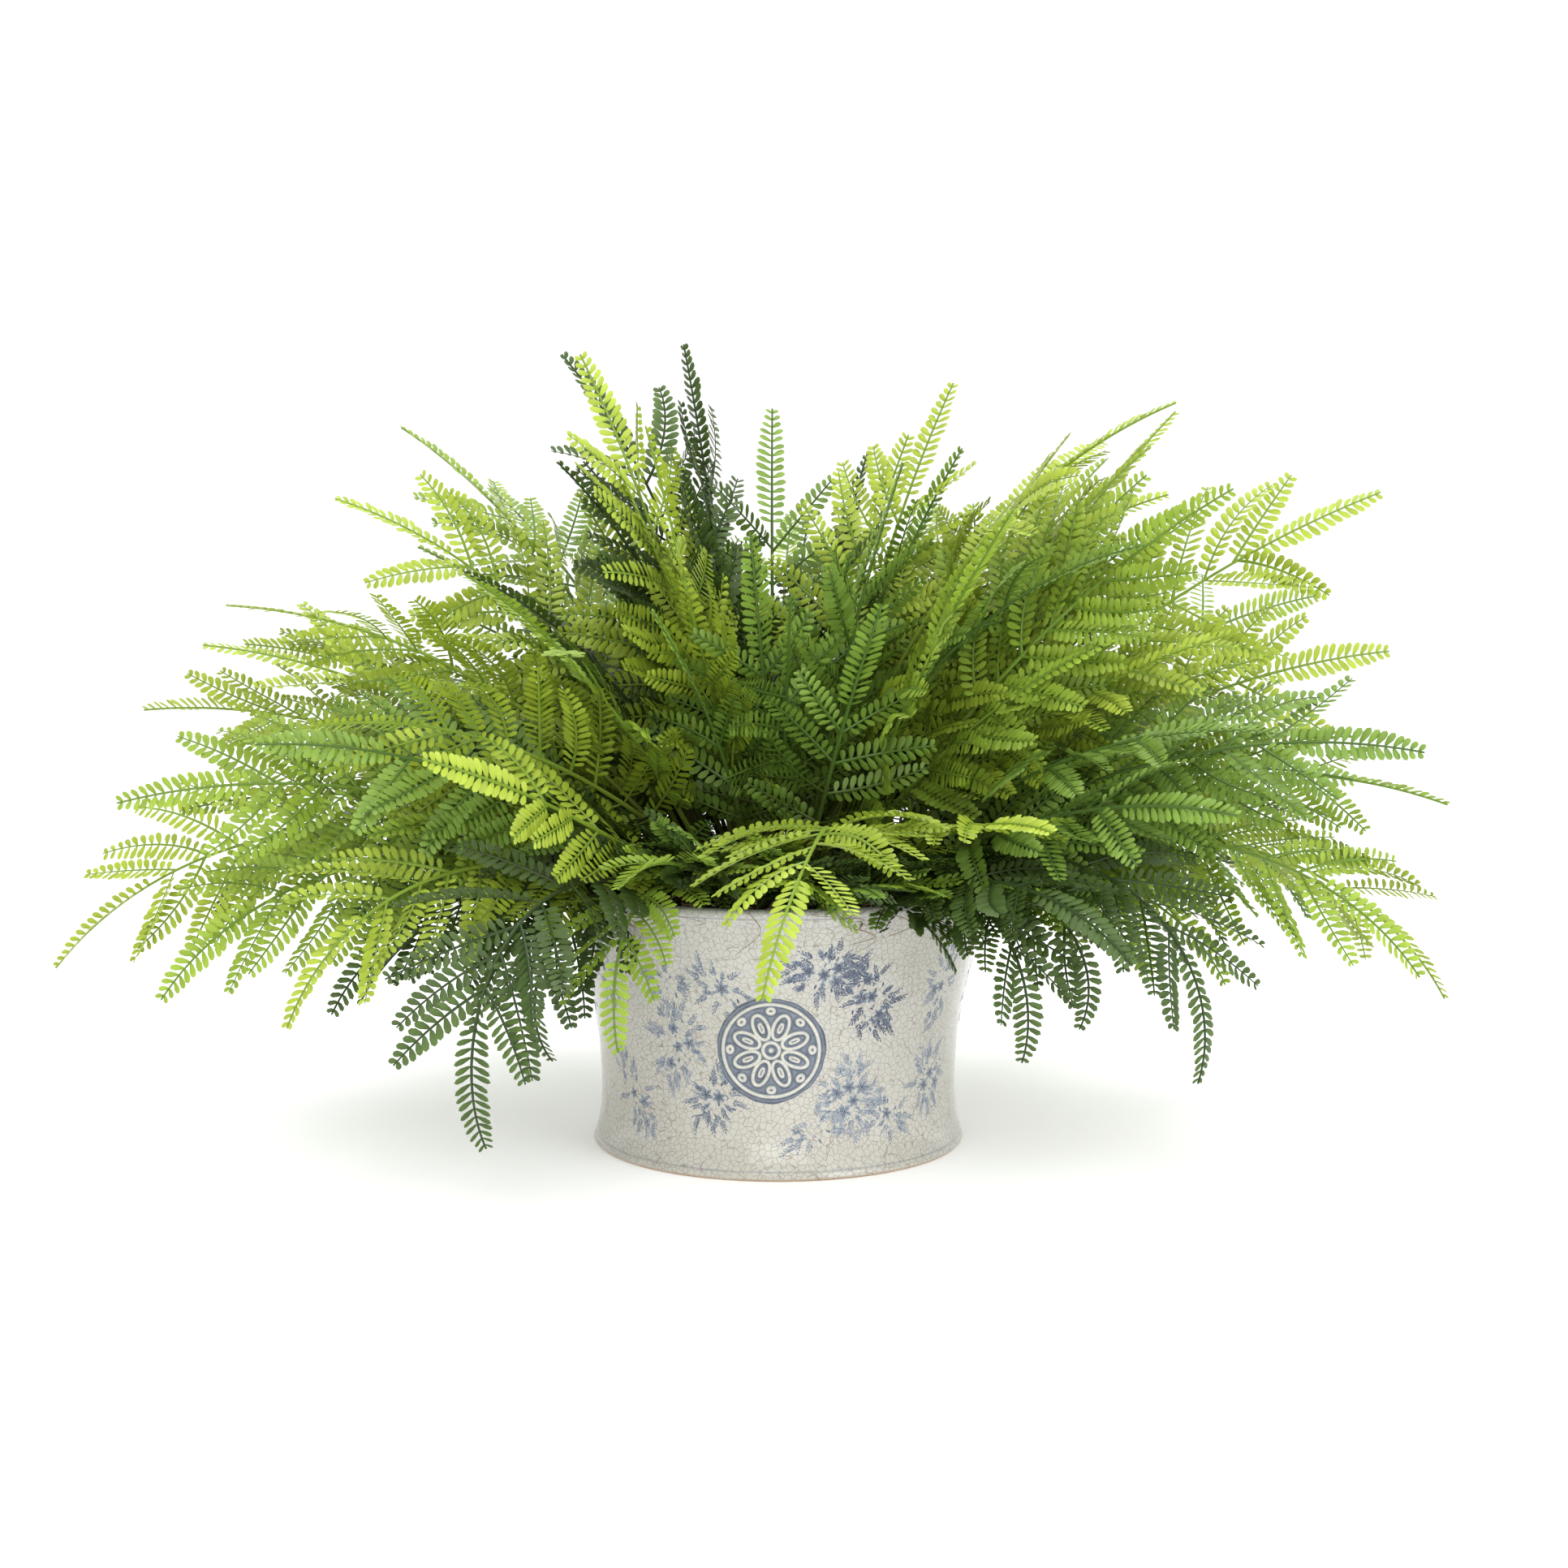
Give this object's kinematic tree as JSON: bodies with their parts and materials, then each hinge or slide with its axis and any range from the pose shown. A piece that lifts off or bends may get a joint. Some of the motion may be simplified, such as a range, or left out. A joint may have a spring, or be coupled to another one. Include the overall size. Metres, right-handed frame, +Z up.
{
  "type": "potted fern",
  "caption": "Spreading fern with finely divided arching fronds, rooted in a round waisted ceramic bowl with a crackled glaze.",
  "frame": {"origin": "centre of the bowl's flat round underside, which stands on the surface", "axes": "+Z up out of the bowl; +X along the widest spread of the fronds, to the right as seen from the front; -Y towards the front"},
  "size_m": [0.816, 0.654, 0.476],
  "materials": {
    "crackle_glaze": "gloss",
    "soil": "matte",
    "crown": "matte",
    "moss": "matte",
    "frond_yellow_green": "satin",
    "frond_leaf_green": "satin",
    "frond_blue_green": "satin",
    "frond_dark_green": "satin"
  },
  "bodies": {
    "root": {"planter_bowl": "crackle_glaze", "potting_soil": "soil", "fern_crown": "crown", "moss_cushion": "moss", "frond_tall_01": "frond_dark_green", "frond_tall_02": "frond_dark_green", "frond_tall_03": "frond_yellow_green", "frond_tall_04": "frond_yellow_green", "frond_tall_05": "frond_blue_green", "frond_tall_06": "frond_blue_green", "frond_tall_07": "frond_yellow_green", "frond_tall_08": "frond_yellow_green", "frond_tall_09": "frond_dark_green", "frond_tall_10": "frond_blue_green", "frond_upper_01": "frond_yellow_green", "frond_upper_02": "frond_yellow_green", "frond_upper_03": "frond_leaf_green", "frond_upper_04": "frond_leaf_green", "frond_upper_05": "frond_blue_green", "frond_upper_06": "frond_blue_green", "frond_upper_07": "frond_leaf_green", "frond_upper_08": "frond_leaf_green", "frond_upper_09": "frond_yellow_green", "frond_upper_10": "frond_yellow_green", "frond_upper_11": "frond_leaf_green", "frond_upper_12": "frond_blue_green", "frond_upper_13": "frond_leaf_green", "frond_upper_14": "frond_yellow_green", "frond_upper_15": "frond_blue_green", "frond_spreading_01": "frond_yellow_green", "frond_spreading_02": "frond_yellow_green", "frond_spreading_03": "frond_leaf_green", "frond_spreading_04": "frond_blue_green", "frond_spreading_05": "frond_yellow_green", "frond_spreading_06": "frond_leaf_green", "frond_spreading_07": "frond_yellow_green", "frond_spreading_08": "frond_blue_green", "frond_spreading_09": "frond_blue_green", "frond_spreading_10": "frond_leaf_green", "frond_spreading_11": "frond_yellow_green", "frond_spreading_12": "frond_leaf_green", "frond_spreading_13": "frond_leaf_green", "frond_spreading_14": "frond_yellow_green", "frond_spreading_15": "frond_dark_green", "frond_spreading_16": "frond_leaf_green", "frond_spreading_17": "frond_blue_green", "frond_spreading_18": "frond_yellow_green", "frond_hanging_01": "frond_yellow_green", "frond_hanging_02": "frond_leaf_green", "frond_hanging_03": "frond_yellow_green", "frond_hanging_04": "frond_dark_green", "frond_hanging_05": "frond_dark_green", "frond_hanging_06": "frond_dark_green", "frond_hanging_07": "frond_leaf_green", "frond_hanging_08": "frond_yellow_green", "frond_hanging_09": "frond_blue_green", "frond_hanging_10": "frond_leaf_green", "frond_hanging_11": "frond_dark_green", "frond_hanging_12": "frond_yellow_green", "frond_hanging_13": "frond_dark_green"}
  },
  "joints": []
}
